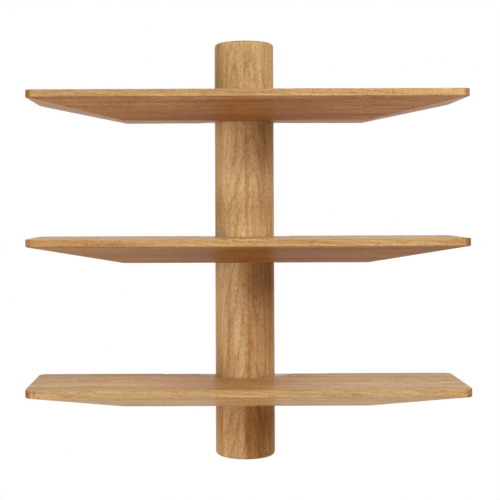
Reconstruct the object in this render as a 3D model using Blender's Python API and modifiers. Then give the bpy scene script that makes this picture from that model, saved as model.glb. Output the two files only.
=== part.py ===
"""Wall shelf: three oak boards that stand out from a half-round oak post.

Metres, +Z up. The wall is the plane y = 0 and the shelf stands out of it towards -Y.
The origin is the middle of the back, on the wall. Behind the wood, out of sight, a
steel plate joins each board to the post, two bolts draw the board onto the post, and
two pairs of hooked cleats hang the post on the wall.
"""

import math

import bmesh
import bpy
from mathutils import Euler, Matrix, Vector

# The gap left between pieces that touch, and how far a cut runs past what it cuts
FIT_GAP = 0.0003
CUT_OVERRUN = 0.002
MERGE_DISTANCE = FIT_GAP / 10

# Angles in degrees: what counts as one flat face, as a turned edge and as a corner
FLAT_ANGLE = 0.05
TURNED_EDGE_ANGLE = 35
CORNER_ANGLE = 40

# The post, half of a round column with its flat on the wall
POST_HEIGHT = 0.800
POST_WIDTH = 0.115
POST_FREE_TOP = 0.1075
POST_END_ROUNDING = 0.007
POST_STEPS = 36
ROUNDING_SEGMENTS = 3

# The boards, thick at the wall and thin at the front and the ends
BOARD_LENGTH = 0.800
BOARD_DEPTH = 0.200
BOARD_THICKNESS = 0.048
BOARD_EDGE_THICKNESS = 0.013
BOARD_SPACING = 0.2685
FLAT_LENGTH = 0.460
FLAT_DEPTH = 0.086
FRONT_CORNER_RADIUS = 0.016
WALL_CORNER_RADIUS = 0.012
BOARD_ARRIS = 0.003
FRONT_CORNER_STEPS = 6
WALL_CORNER_STEPS = 5
ARRIS_SEGMENTS = 2

# The notch at the back of a board, a half ellipse that meets the post at its front
NOTCH_SIDE_GAP = 0.0315
NOTCH_STEPS = 28

# The steel plate let into the backs of a board and of the post
PLATE_THICKNESS = 0.003
PLATE_EDGE_DROP = 0.0005
PLATE_WING = 0.071
PLATE_CORNER_RADIUS = 0.005
PLATE_CORNER_STEPS = 4

# Wood screws, M6 bolts and the threaded inserts that the bolts run into
SCREW_RADIUS = 0.002
SCREW_HEAD_RADIUS = 0.004
SCREW_HEAD_DEPTH = 0.0022
SCREW_TIP = 0.005
SCREW_SINK = 0.0001
BOARD_SCREW_LENGTH = 0.035
POST_SCREW_LENGTH = 0.030
CLEAT_SCREW_LENGTH = 0.025
SCREWS_PER_WING = 2
SCREW_ROW_OFFSET = 0.012
POST_SCREW_OFFSET = 0.035
BOLT_RADIUS = 0.003
BOLT_HEAD_RADIUS = 0.006
BOLT_HEAD_DEPTH = 0.0033
BOLT_TIP = 0.001
BOLT_REACH = 0.022
BOLT_PITCH = 0.024
INSERT_RADIUS = 0.005
INSERT_LENGTH = 0.018
INSERT_SINK = 0.001
INSERT_CHAMFER = 0.0008
TURNED_STEPS = 16

# The hooked cleats, one half on the wall and the same half turned over on the post
CLEAT_LENGTH = 0.090
CLEAT_THICKNESS = 0.0024
CLEAT_BASE = 0.024
CLEAT_LIP = 0.010
CLEAT_LIFT_ROOM = 0.003
CLEAT_SIDE_ROOM = 0.003
CLEAT_END_MARGIN = 0.016
CLEAT_SCREW_OFFSET = 0.030

# Sizes that follow from the ones above
POST_RADIUS = POST_WIDTH / 2
NOTCH_HALF = POST_RADIUS + NOTCH_SIDE_GAP
NOTCH_DEPTH = POST_RADIUS + FIT_GAP
PLATE_HALF = NOTCH_HALF + PLATE_WING
PLATE_HEIGHT = BOARD_THICKNESS - 2 * PLATE_EDGE_DROP
BOLT_LENGTH = NOTCH_DEPTH + BOLT_REACH
CLEAT_SLOT = CLEAT_THICKNESS + 2 * FIT_GAP
CLEAT_DEPTH = CLEAT_SLOT + CLEAT_THICKNESS + FIT_GAP
CLEAT_PAIR_HEIGHT = 2 * CLEAT_BASE + CLEAT_LIP + FIT_GAP
CLEAT_LIFT = CLEAT_LIP + CLEAT_LIFT_ROOM

TOP_LEVEL = POST_HEIGHT / 2 - POST_FREE_TOP

BOARD_LEVELS = {
    "top": TOP_LEVEL,
    "middle": TOP_LEVEL - BOARD_SPACING,
    "bottom": TOP_LEVEL - 2 * BOARD_SPACING,
}

# Turns that bring a turned piece's head from +Z to the wall, or to the room
HEAD_AT_WALL = (-math.pi / 2, 0.0, 0.0)
HEAD_OFF_WALL = (math.pi / 2, 0.0, 0.0)

# Colours of the plain materials: red, green, blue, roughness, metallic
FINISHES = {
    "oak_post": (0.50, 0.31, 0.14, 0.55, 0.0),
    "oak_board": (0.46, 0.27, 0.12, 0.55, 0.0),
    "coated_steel": (0.62, 0.54, 0.45, 0.50, 0.0),
    "zinc_plated_steel": (0.62, 0.62, 0.60, 0.35, 1.0),
    "brass": (0.72, 0.52, 0.25, 0.35, 1.0),
    "aluminium": (0.78, 0.78, 0.79, 0.40, 1.0),
}


def clear_scene():
    for item in list(bpy.data.objects):
        bpy.data.objects.remove(item, do_unlink=True)


def make_collection(name):
    collection = bpy.data.collections.new(name)
    bpy.context.scene.collection.children.link(collection)
    return collection


def make_material(name):
    red, green, blue, roughness, metallic = FINISHES[name]
    material = bpy.data.materials.new(name)
    material.use_nodes = True
    shader = material.node_tree.nodes["Principled BSDF"]
    shader.inputs["Base Color"].default_value = (red, green, blue, 1.0)
    shader.inputs["Roughness"].default_value = roughness
    shader.inputs["Metallic"].default_value = metallic
    material.diffuse_color = (red, green, blue, 1.0)
    return material


def mesh_from(solid, name):
    """Close a bmesh into a named mesh with its faces pointing out."""
    bmesh.ops.recalc_face_normals(solid, faces=solid.faces)
    mesh = bpy.data.meshes.new(name)
    solid.to_mesh(mesh)
    solid.free()
    return mesh


def add_piece(name, mesh, finish):
    """Put a piece of the shelf in its collection, with its own material."""
    piece = bpy.data.objects.new(name, mesh)
    SHELF.objects.link(piece)
    material = make_material(finish)
    material.name = name + "_" + finish
    mesh.materials.clear()
    mesh.materials.append(material)
    return piece


def add_cutter(name, mesh):
    cutter = bpy.data.objects.new(name, mesh)
    CUTTERS.objects.link(cutter)
    cutter.hide_render = True
    cutter.display_type = "WIRE"
    return cutter


def cut(piece, cutter):
    """Add a cutter to those that one Boolean takes out of a piece, all at once."""
    name = piece.name + "_cuts"
    if name not in bpy.data.collections:
        CUTTERS.children.link(bpy.data.collections.new(name))
        difference = piece.modifiers.new("cuts", "BOOLEAN")
        difference.operation = "DIFFERENCE"
        difference.solver = "EXACT"
        difference.operand_type = "COLLECTION"
        difference.collection = bpy.data.collections[name]
    bpy.data.collections[name].objects.link(cutter)


def arc(centre, radii, first, last, steps):
    """Points on an ellipse's arc, from one angle to another in degrees."""
    points = []
    for step in range(steps + 1):
        angle = math.radians(first + (last - first) * step / steps)
        points.append((centre[0] + radii[0] * math.cos(angle), centre[1] + radii[1] * math.sin(angle)))
    return points


def slab(outline, thickness, placing, name):
    """A flat outline, extruded to a thickness about its own plane, then placed."""
    curve = bpy.data.curves.new(name, "CURVE")
    curve.dimensions = "2D"
    curve.fill_mode = "BOTH"
    curve.extrude = thickness / 2
    spline = curve.splines.new("POLY")
    spline.points.add(len(outline) - 1)
    for point, (across, along) in zip(spline.points, outline):
        point.co = (across, along, 0.0, 1.0)
    spline.use_cyclic_u = True
    holder = bpy.data.objects.new(name, curve)
    bpy.context.scene.collection.objects.link(holder)
    bpy.context.view_layer.update()
    evaluated = holder.evaluated_get(bpy.context.evaluated_depsgraph_get())
    mesh = bpy.data.meshes.new_from_object(evaluated)
    bpy.data.objects.remove(holder, do_unlink=True)
    bpy.data.curves.remove(curve)
    solid = bmesh.new()
    solid.from_mesh(mesh)
    bpy.data.meshes.remove(mesh)
    bmesh.ops.remove_doubles(solid, verts=solid.verts, dist=MERGE_DISTANCE)
    flat_edges = [edge for edge in solid.edges if edge.calc_face_angle() < math.radians(FLAT_ANGLE)]
    bmesh.ops.dissolve_edges(solid, edges=flat_edges, use_verts=False)
    bmesh.ops.transform(solid, matrix=placing, verts=solid.verts)
    return solid


def slice_off(solid, point, normal):
    """Cut away what lies beyond a plane, and close the cut."""
    everything = list(solid.verts) + list(solid.edges) + list(solid.faces)
    bmesh.ops.bisect_plane(solid, geom=everything, plane_co=point, plane_no=normal, clear_outer=True)
    rim = [edge for edge in solid.edges if edge.is_boundary]
    bmesh.ops.holes_fill(solid, edges=rim, sides=0)


def turned(profile, name):
    """A profile of radius and height pairs, turned round the Z axis."""
    mesh = bpy.data.meshes.new(name)
    points = [(radius, 0.0, height) for radius, height in profile]
    links = [(index, index + 1) for index in range(len(points) - 1)]
    mesh.from_pydata(points, links, [])
    holder = bpy.data.objects.new(name, mesh)
    bpy.context.scene.collection.objects.link(holder)
    screw = holder.modifiers.new("turn", "SCREW")
    screw.axis = "Z"
    screw.angle = math.tau
    screw.steps = TURNED_STEPS
    screw.render_steps = TURNED_STEPS
    screw.use_merge_vertices = True
    screw.merge_threshold = MERGE_DISTANCE
    bpy.context.view_layer.update()
    evaluated = holder.evaluated_get(bpy.context.evaluated_depsgraph_get())
    result = bpy.data.meshes.new_from_object(evaluated)
    bpy.data.objects.remove(holder, do_unlink=True)
    bpy.data.meshes.remove(mesh)
    return result


def fastener_profile(radius, head_radius, head_depth, length, tip, spare):
    """A countersunk fastener's profile, head up, grown on every side by a spare width."""
    head = [(0.0, 0.0), (head_radius, 0.0)]
    if spare:
        head = [(0.0, CUT_OVERRUN), (head_radius + spare, CUT_OVERRUN), (head_radius + spare, 0.0)]
    return head + [
        (radius + spare, -head_depth),
        (radius + spare, -(length - tip) - spare),
        (0.0, -length - spare),
    ]


def add_copies(name, mesh, places, finish):
    """The same turned piece at each place, its head towards the wall."""
    mesh.shade_smooth()
    mesh.set_sharp_from_angle(angle=math.radians(TURNED_EDGE_ANGLE))
    mesh.materials.append(make_material(finish))
    for number, place in enumerate(places, start=1):
        copy = bpy.data.objects.new(name + "_" + str(number), mesh)
        SHELF.objects.link(copy)
        copy.location = place
        copy.rotation_euler = HEAD_AT_WALL


def add_hole_cutter(name, mesh, places, turn):
    """One cutter for all the places, each hole a closed body of its own."""
    holes = bmesh.new()
    for place in places:
        before = len(holes.verts)
        holes.from_mesh(mesh)
        holes.verts.ensure_lookup_table()
        placing = Matrix.Translation(place) @ Euler(turn).to_matrix().to_4x4()
        bmesh.ops.transform(holes, matrix=placing, verts=holes.verts[before:])
    bpy.data.meshes.remove(mesh)
    return add_cutter(name, mesh_from(holes, name))


def add_fasteners(name, places, sizes, finish):
    """Fasteners driven from the wall side, and the cutter for their holes."""
    add_copies(name, turned(fastener_profile(*sizes, 0.0), name), places, finish)
    hole = turned(fastener_profile(*sizes, FIT_GAP), name + "_hole")
    return add_hole_cutter(name + "_holes", hole, places, HEAD_AT_WALL)


def box_cutter(name, low, high):
    size = Vector(high) - Vector(low)
    middle = (Vector(high) + Vector(low)) / 2
    block = bmesh.new()
    placing = Matrix.Translation(middle) @ Matrix.Diagonal((*size, 1.0))
    bmesh.ops.create_cube(block, size=1.0, matrix=placing)
    return add_cutter(name, mesh_from(block, name))


def make_post():
    """Half of a round column, its flat on the wall and both of its ends rounded over."""
    half_round = arc((0.0, 0.0), (POST_RADIUS, POST_RADIUS), 180, 360, POST_STEPS)
    column = slab(half_round, POST_HEIGHT, Matrix.Identity(4), "post")
    rims = [
        edge
        for edge in column.edges
        if abs(edge.verts[0].co.z - edge.verts[1].co.z) < FIT_GAP
        and min(vert.co.y for vert in edge.verts) < -FIT_GAP
    ]
    bmesh.ops.bevel(
        column,
        geom=rims,
        offset=POST_END_ROUNDING,
        segments=ROUNDING_SEGMENTS,
        profile=0.5,
        affect="EDGES",
    )
    post = add_piece("post", mesh_from(column, "post"), "oak_post")
    post.data.shade_smooth()
    post.data.set_sharp_from_angle(angle=math.radians(TURNED_EDGE_ANGLE))
    return post


def board_outline():
    """A board seen from above: a rectangle with soft corners and the notch at its back."""
    half = BOARD_LENGTH / 2
    front = FRONT_CORNER_RADIUS
    back = WALL_CORNER_RADIUS
    points = arc((front - half, front - BOARD_DEPTH), (front, front), 180, 270, FRONT_CORNER_STEPS)
    points += arc((half - front, front - BOARD_DEPTH), (front, front), 270, 360, FRONT_CORNER_STEPS)
    points += arc((half - back, -back), (back, back), 0, 90, WALL_CORNER_STEPS)
    points += arc((0.0, 0.0), (NOTCH_HALF, NOTCH_DEPTH), 0, -180, NOTCH_STEPS)
    points += arc((back - half, -back), (back, back), 90, 180, WALL_CORNER_STEPS)
    return points


def make_board(name, level):
    """A board with its top at a level, its underside planed up to a thin edge."""
    placing = Matrix.Translation((0.0, 0.0, level - BOARD_THICKNESS / 2))
    board = slab(board_outline(), BOARD_THICKNESS, placing, name)
    drop = BOARD_THICKNESS - BOARD_EDGE_THICKNESS
    edge_height = level - BOARD_EDGE_THICKNESS
    slice_off(board, (0.0, -BOARD_DEPTH, edge_height), (0.0, -drop, FLAT_DEPTH - BOARD_DEPTH))
    for side in (-1, 1):
        run = (BOARD_LENGTH - FLAT_LENGTH) / 2
        slice_off(board, (side * BOARD_LENGTH / 2, 0.0, edge_height), (side * drop, 0.0, -run))
    arrises = [
        edge
        for edge in board.edges
        if edge.calc_face_angle() > math.radians(CORNER_ANGLE)
        and min(vert.co.y for vert in edge.verts) < -FIT_GAP
        and not in_notch(edge)
    ]
    bmesh.ops.bevel(
        board,
        geom=arrises,
        offset=BOARD_ARRIS,
        segments=ARRIS_SEGMENTS,
        profile=0.5,
        affect="EDGES",
        clamp_overlap=True,
    )
    return add_piece(name, mesh_from(board, name), "oak_board")


def in_notch(edge):
    """Whether both ends of an edge lie on the notch's wall."""
    for vert in edge.verts:
        if abs(vert.co.x) > NOTCH_HALF + FIT_GAP or vert.co.y < -NOTCH_DEPTH - FIT_GAP:
            return False
    return True


def plate_outline():
    """The joining plate seen from the wall."""
    rounding = (PLATE_CORNER_RADIUS, PLATE_CORNER_RADIUS)
    across = PLATE_HALF - PLATE_CORNER_RADIUS
    up = PLATE_HEIGHT / 2 - PLATE_CORNER_RADIUS
    points = arc((across, up), rounding, 0, 90, PLATE_CORNER_STEPS)
    points += arc((-across, up), rounding, 90, 180, PLATE_CORNER_STEPS)
    points += arc((-across, -up), rounding, 180, 270, PLATE_CORNER_STEPS)
    points += arc((across, -up), rounding, 270, 360, PLATE_CORNER_STEPS)
    return points


def plate_placing(height):
    """Stand the plate's outline up with its back face flush with the wall."""
    return Matrix.Translation((0.0, -PLATE_THICKNESS / 2, height)) @ Matrix.Rotation(math.pi / 2, 4, "X")


def join_board(name, board, post, level):
    """The plate, screws, bolts and inserts that hold one board to the post."""
    middle = level - BOARD_THICKNESS / 2
    plate_mesh = mesh_from(
        slab(plate_outline(), PLATE_THICKNESS, plate_placing(middle), "plate"),
        name + "_joining_plate",
    )
    plate = add_piece(name + "_joining_plate", plate_mesh, "coated_steel")

    # The housing for the plate, open at the board's top and underside
    housing_low = middle - BOARD_THICKNESS / 2 - CUT_OVERRUN
    housing_high = middle + BOARD_THICKNESS / 2 + CUT_OVERRUN
    housing_reach = PLATE_HALF + FIT_GAP
    housing_depth = PLATE_THICKNESS + FIT_GAP
    cut(board, box_cutter(
        name + "_board_housing",
        (-housing_reach, -housing_depth, housing_low),
        (housing_reach, CUT_OVERRUN, housing_high),
    ))
    cut(post, box_cutter(
        name + "_post_housing",
        (-housing_reach, -housing_depth, middle - PLATE_HEIGHT / 2 - FIT_GAP),
        (housing_reach, CUT_OVERRUN, middle + PLATE_HEIGHT / 2 + FIT_GAP),
    ))

    # Screws through the plate into the board's two wings
    board_places = []
    for side in (-1, 1):
        for index in range(SCREWS_PER_WING):
            across = NOTCH_HALF + PLATE_WING * (index + 0.5) / SCREWS_PER_WING
            up = SCREW_ROW_OFFSET * (1 if index % 2 == 0 else -1)
            board_places.append((side * across, -SCREW_SINK, middle + up))
    screw_sizes = (SCREW_RADIUS, SCREW_HEAD_RADIUS, SCREW_HEAD_DEPTH)
    board_holes = add_fasteners(
        name + "_shelf_screw",
        board_places,
        (*screw_sizes, BOARD_SCREW_LENGTH, SCREW_TIP),
        "zinc_plated_steel",
    )
    cut(board, board_holes)
    cut(plate, board_holes)

    # Screws through the plate into the post
    post_places = [(side * POST_SCREW_OFFSET, -SCREW_SINK, middle) for side in (-1, 1)]
    post_holes = add_fasteners(
        name + "_post_screw",
        post_places,
        (*screw_sizes, POST_SCREW_LENGTH, SCREW_TIP),
        "zinc_plated_steel",
    )
    cut(post, post_holes)
    cut(plate, post_holes)

    # Bolts through the plate and the post into inserts in the notch's wall
    bolt_places = [(0.0, -SCREW_SINK, middle + up * BOLT_PITCH / 2) for up in (-1, 1)]
    bolt_holes = add_fasteners(
        name + "_shelf_bolt",
        bolt_places,
        (BOLT_RADIUS, BOLT_HEAD_RADIUS, BOLT_HEAD_DEPTH, BOLT_LENGTH, BOLT_TIP),
        "zinc_plated_steel",
    )
    for piece in (plate, post, board):
        cut(piece, bolt_holes)
    add_inserts(name, board, middle)


def add_inserts(name, board, middle):
    """Two threaded sleeves sunk in the notch's wall, and the pockets they sit in."""
    bore = BOLT_RADIUS + FIT_GAP
    bevel = INSERT_CHAMFER
    sleeve = turned(
        [
            (bore, 0.0),
            (INSERT_RADIUS - bevel, 0.0),
            (INSERT_RADIUS, -bevel),
            (INSERT_RADIUS, bevel - INSERT_LENGTH),
            (INSERT_RADIUS - bevel, -INSERT_LENGTH),
            (bore, -INSERT_LENGTH),
            (bore, 0.0),
        ],
        "sleeve",
    )
    mouth = -NOTCH_DEPTH - INSERT_SINK
    places = [(0.0, mouth, middle + up * BOLT_PITCH / 2) for up in (-1, 1)]
    add_copies(name + "_bolt_insert", sleeve, places, "brass")
    pocket_radius = INSERT_RADIUS + FIT_GAP
    pocket = turned(
        [
            (0.0, INSERT_SINK + CUT_OVERRUN),
            (pocket_radius, INSERT_SINK + CUT_OVERRUN),
            (pocket_radius, -INSERT_LENGTH - FIT_GAP),
            (0.0, -INSERT_LENGTH - FIT_GAP),
        ],
        "pocket",
    )
    cut(board, add_hole_cutter(name + "_pockets", pocket, places, HEAD_AT_WALL))


def cleat_outline():
    """A cleat's section: away from what it is fixed to, and along it towards the hook."""
    depth = CLEAT_SLOT + CLEAT_THICKNESS
    return [
        (0.0, 0.0),
        (CLEAT_THICKNESS, 0.0),
        (CLEAT_THICKNESS, CLEAT_BASE - CLEAT_THICKNESS),
        (depth, CLEAT_BASE - CLEAT_THICKNESS),
        (depth, CLEAT_BASE + CLEAT_LIP),
        (CLEAT_SLOT, CLEAT_BASE + CLEAT_LIP),
        (CLEAT_SLOT, CLEAT_BASE),
        (0.0, CLEAT_BASE),
    ]


def hang_post(name, post, recess_top):
    """A pair of hooked cleats in a recess in the post's back, and the screws of one."""
    recess_bottom = recess_top - FIT_GAP - CLEAT_PAIR_HEIGHT - CLEAT_LIFT
    recess_reach = CLEAT_LENGTH / 2 + CLEAT_SIDE_ROOM
    cut(post, box_cutter(
        name + "_recess",
        (-recess_reach, -CLEAT_DEPTH - FIT_GAP, recess_bottom),
        (recess_reach, CUT_OVERRUN, recess_top),
    ))

    # The section's first axis points off the wall and its second up the wall
    on_wall = Matrix(((0, 0, 1, 0), (-1, 0, 0, 0), (0, 1, 0, 0), (0, 0, 0, 1)))
    turned_over = Matrix.Rotation(math.pi, 4, "X")
    top = recess_top - FIT_GAP
    wall_placing = Matrix.Translation((0.0, 0.0, top - CLEAT_PAIR_HEIGHT)) @ on_wall
    post_placing = Matrix.Translation((0.0, -CLEAT_DEPTH, top)) @ turned_over @ on_wall
    wall_mesh = mesh_from(slab(cleat_outline(), CLEAT_LENGTH, wall_placing, "cleat"), name + "_wall_cleat")
    post_mesh = mesh_from(slab(cleat_outline(), CLEAT_LENGTH, post_placing, "cleat"), name + "_post_cleat")
    wall_cleat = add_piece(name + "_wall_cleat", wall_mesh, "aluminium")
    post_cleat = add_piece(name + "_post_cleat", post_mesh, "aluminium")

    # Two screws hold the post's cleat
    screw_height = (CLEAT_BASE - CLEAT_THICKNESS) / 2
    outer_face = CLEAT_THICKNESS - CLEAT_DEPTH
    places = [
        (step * CLEAT_SCREW_OFFSET, outer_face - SCREW_SINK, top - screw_height)
        for step in (-1, 1)
    ]
    holes = add_fasteners(
        name + "_cleat_screw",
        places,
        (SCREW_RADIUS, SCREW_HEAD_RADIUS, SCREW_HEAD_DEPTH, CLEAT_SCREW_LENGTH, SCREW_TIP),
        "zinc_plated_steel",
    )
    cut(post_cleat, holes)
    cut(post, holes)

    # Two countersunk holes let the wall's own screws through the other cleat
    hole = turned(
        [
            (0.0, CUT_OVERRUN),
            (SCREW_HEAD_RADIUS + FIT_GAP, CUT_OVERRUN),
            (SCREW_HEAD_RADIUS + FIT_GAP, 0.0),
            (SCREW_RADIUS + FIT_GAP, -SCREW_HEAD_DEPTH),
            (SCREW_RADIUS + FIT_GAP, -CLEAT_THICKNESS - CUT_OVERRUN),
            (0.0, -CLEAT_THICKNESS - CUT_OVERRUN),
        ],
        "wall_hole",
    )
    wall_places = [
        (step * CLEAT_SCREW_OFFSET, -CLEAT_THICKNESS, top - CLEAT_PAIR_HEIGHT + screw_height)
        for step in (-1, 1)
    ]
    cut(wall_cleat, add_hole_cutter(name + "_wall_holes", hole, wall_places, HEAD_OFF_WALL))


clear_scene()
SHELF = make_collection("wall_shelf")
CUTTERS = make_collection("cutters")

post_piece = make_post()
for board_name, board_level in BOARD_LEVELS.items():
    board_piece = make_board(board_name + "_shelf", board_level)
    join_board(board_name, board_piece, post_piece, board_level)
upper_recess_top = POST_HEIGHT / 2 - CLEAT_END_MARGIN
hang_post("upper", post_piece, upper_recess_top)
lower_recess_top = CLEAT_PAIR_HEIGHT + CLEAT_LIFT + FIT_GAP - upper_recess_top
hang_post("lower", post_piece, lower_recess_top)
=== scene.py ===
"""A wall shelf of oiled oak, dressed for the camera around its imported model.

Metres, +Z up. The wall is the plane y = 0, the shelf stands out of it towards -Y, and the
origin is the middle of its back. The sections follow the shelf as it is put together.
"""

import math

import bmesh
import bpy
from mathutils import Matrix, Vector


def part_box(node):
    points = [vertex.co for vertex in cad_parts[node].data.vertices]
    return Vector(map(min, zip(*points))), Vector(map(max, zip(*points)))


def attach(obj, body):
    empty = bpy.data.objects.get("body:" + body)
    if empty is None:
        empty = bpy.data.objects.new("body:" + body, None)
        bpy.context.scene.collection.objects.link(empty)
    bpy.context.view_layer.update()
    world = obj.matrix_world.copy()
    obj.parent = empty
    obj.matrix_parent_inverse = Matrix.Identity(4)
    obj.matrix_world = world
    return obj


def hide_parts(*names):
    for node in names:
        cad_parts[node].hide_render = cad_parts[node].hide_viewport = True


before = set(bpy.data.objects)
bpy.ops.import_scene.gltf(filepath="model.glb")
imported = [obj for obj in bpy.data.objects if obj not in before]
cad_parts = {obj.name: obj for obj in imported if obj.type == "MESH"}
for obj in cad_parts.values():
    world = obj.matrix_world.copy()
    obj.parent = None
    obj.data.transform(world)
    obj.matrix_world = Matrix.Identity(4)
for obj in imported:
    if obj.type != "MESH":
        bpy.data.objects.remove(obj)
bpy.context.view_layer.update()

# The view and the light. The photograph is taken with a long lens, a little to the left of the
# post and above the middle board. Softboxes stand low at the left, high at the right and above
# the front, and a weak one behind the wall's plane lights the back.
CAMERA_PLACE = (-0.0745, -2.2001, 0.0862)
CAMERA_PITCH = math.radians(1.146)
CAMERA_ROLL = math.radians(0.2)
CAMERA_LENS = 80.84
CAMERA_SHIFT = (0.0871, -0.1365)
FLOOR_LEVEL = -1.0
FLOOR_REACH = 6.0
FLOOR_TONE = "E0DCD6"
FLOOR_ROUGHNESS = 0.9
FLOOR_FADE = (0.5, 1.7)
FLOOR_WHITE_BELOW = 0.45
SKY_LIGHT = 0.005
LAMPS = {
    # Place, width and height in metres, and watts
    "left_softbox": ((-3.97, -2.11, 0.1), (1.5, 2.2), 97.0),
    "right_softbox": ((3.29, -2.3, 2.04), (1.8, 2.2), 86.0),
    "front_softbox": ((0.5, -2.85, 3.45), (3.0, 2.1), 110.0),
    "back_softbox": ((0.8, 3.0, 0.5), (1.5, 1.5), 40.0),
}


def linear(code):
    """An sRGB hex colour as linear red, green, blue and alpha."""
    channels = [int(code[place:place + 2], 16) / 255 for place in (0, 2, 4)]
    return (*[c / 12.92 if c <= 0.04045 else ((c + 0.055) / 1.055) ** 2.4 for c in channels], 1.0)


def add_node(tree, kind, inputs=None, stops=(), **settings):
    """Add a node with its settings and a colour ramp's stops, and fill its inputs with links
    or values. A node given for an input stands for its first output."""
    made = tree.nodes.new(kind)
    for name, value in settings.items():
        setattr(made, name, value)
    for number, (position, colour) in enumerate(stops):
        elements = made.color_ramp.elements
        stop = elements[number] if number < 2 else elements.new(position)
        stop.position, stop.color = position, colour
    for key, value in (inputs or {}).items():
        if isinstance(value, bpy.types.Node):
            value = value.outputs[0]
        if isinstance(value, bpy.types.NodeSocket):
            tree.links.new(value, made.inputs[key])
        else:
            made.inputs[key].default_value = value
    return made


def new_material(name):
    """An empty material: its tree and its Principled shader, already on the output."""
    material = bpy.data.materials.new(name)
    material.use_nodes = True
    return material, material.node_tree, material.node_tree.nodes["Principled BSDF"]


def add_object(name, mesh):
    """An object at the origin, in the scene."""
    made = bpy.data.objects.new(name, mesh)
    bpy.context.scene.collection.objects.link(made)
    return made


def floor():
    """A pale matt floor that turns to plain white away from the shelf, so it has no edge."""
    reach = FLOOR_REACH
    mesh = bpy.data.meshes.new("floor")
    corners = [(-reach, -reach), (reach, -reach), (reach, reach), (-reach, reach)]
    mesh.from_pydata([(*corner, FLOOR_LEVEL) for corner in corners], [], [(0, 1, 2, 3)])
    material, tree, shader = new_material("matt_white_floor")
    shader.inputs["Base Color"].default_value = linear(FLOOR_TONE)
    shader.inputs["Roughness"].default_value = FLOOR_ROUGHNESS
    place = add_node(tree, "ShaderNodeTexCoord").outputs["Object"]
    flat = add_node(tree, "ShaderNodeVectorMath", {0: place, 1: (1.0, 1.0, 0.0)}, operation="MULTIPLY")
    away = add_node(tree, "ShaderNodeVectorMath", {0: flat}, operation="LENGTH")
    fade = add_node(tree, "ShaderNodeMapRange", {
        "Value": away.outputs["Value"],
        "From Min": FLOOR_FADE[0],
        "From Max": FLOOR_FADE[1],
        "To Min": FLOOR_WHITE_BELOW,
        "To Max": 1.0,
    }, interpolation_type="SMOOTHSTEP")
    seen = add_node(tree, "ShaderNodeLightPath")
    amount = add_node(tree, "ShaderNodeMath", {
        0: fade,
        1: seen.outputs["Is Camera Ray"],
        2: seen.outputs["Is Glossy Ray"],
    }, operation="MULTIPLY_ADD", use_clamp=True)
    white = add_node(tree, "ShaderNodeEmission", {"Strength": 1.0})
    blend = add_node(tree, "ShaderNodeMixShader", {0: amount, 1: shader, 2: white})
    tree.links.new(blend.outputs[0], tree.nodes["Material Output"].inputs["Surface"])
    mesh.materials.append(material)
    add_object("floor", mesh)


floor()

# The world is white to the camera and in reflections, and hardly lights the shelf
world = bpy.data.worlds.new("studio")
world.use_nodes = True
bpy.context.scene.world = world
sky = world.node_tree
path = add_node(sky, "ShaderNodeLightPath").outputs
mirrored = add_node(sky, "ShaderNodeMath", {
    0: path["Is Camera Ray"],
    1: path["Is Glossy Ray"],
}, operation="ADD")
seen = add_node(sky, "ShaderNodeMath", {
    0: mirrored,
    1: path["Is Transmission Ray"],
}, operation="ADD", use_clamp=True)
level = add_node(sky, "ShaderNodeMapRange", {"Value": seen, "To Min": SKY_LIGHT, "To Max": 1.0})
sky.nodes["Background"].inputs["Color"].default_value = (1.0, 1.0, 1.0, 1.0)
sky.links.new(level.outputs["Result"], sky.nodes["Background"].inputs["Strength"])

for lamp_name, (place, size, watts) in LAMPS.items():
    lamp = bpy.data.lights.new(lamp_name, "AREA")
    lamp.shape = "RECTANGLE"
    lamp.size, lamp.size_y = size
    lamp.energy = watts
    holder = add_object(lamp_name, lamp)
    holder.location = place
    holder.rotation_euler = (-Vector(place)).to_track_quat("-Z", "Y").to_euler()
    holder.visible_camera = False
    holder.visible_glossy = lamp_name != "back_softbox"

camera = bpy.data.cameras.new("camera")
camera.lens = CAMERA_LENS
camera.shift_x, camera.shift_y = CAMERA_SHIFT
camera_holder = add_object("camera", camera)
camera_holder.location = CAMERA_PLACE
camera_holder.rotation_euler = (math.pi / 2 + CAMERA_PITCH, CAMERA_ROLL, 0.0)
bpy.context.scene.camera = camera_holder
bpy.context.scene.view_settings.view_transform = "Standard"


# The post is half of a round column, glued up from upright oak staves, turned, sawn down the
# middle and oiled. Its back is flat on the wall and is recessed for the joining plates and
# for the cleats that it hangs by.
POST_END_ROUNDING = 0.007
POST_STEPS = 96
ROUNDING_STEPS = 6
# Room round the cleats in their recess: beside them, below to lift the shelf on, and in front
CLEAT_SIDE_ROOM = 0.003
CLEAT_LIFT_ROOM = 0.013
CLEAT_FRONT_ROOM = 0.0033
# What is left between neighbours, and how far a cut runs past a face
FIT_GAP = 0.0003
CUT_OVERRUN = 0.002
SMOOTH_ANGLE = math.radians(32)

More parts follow.
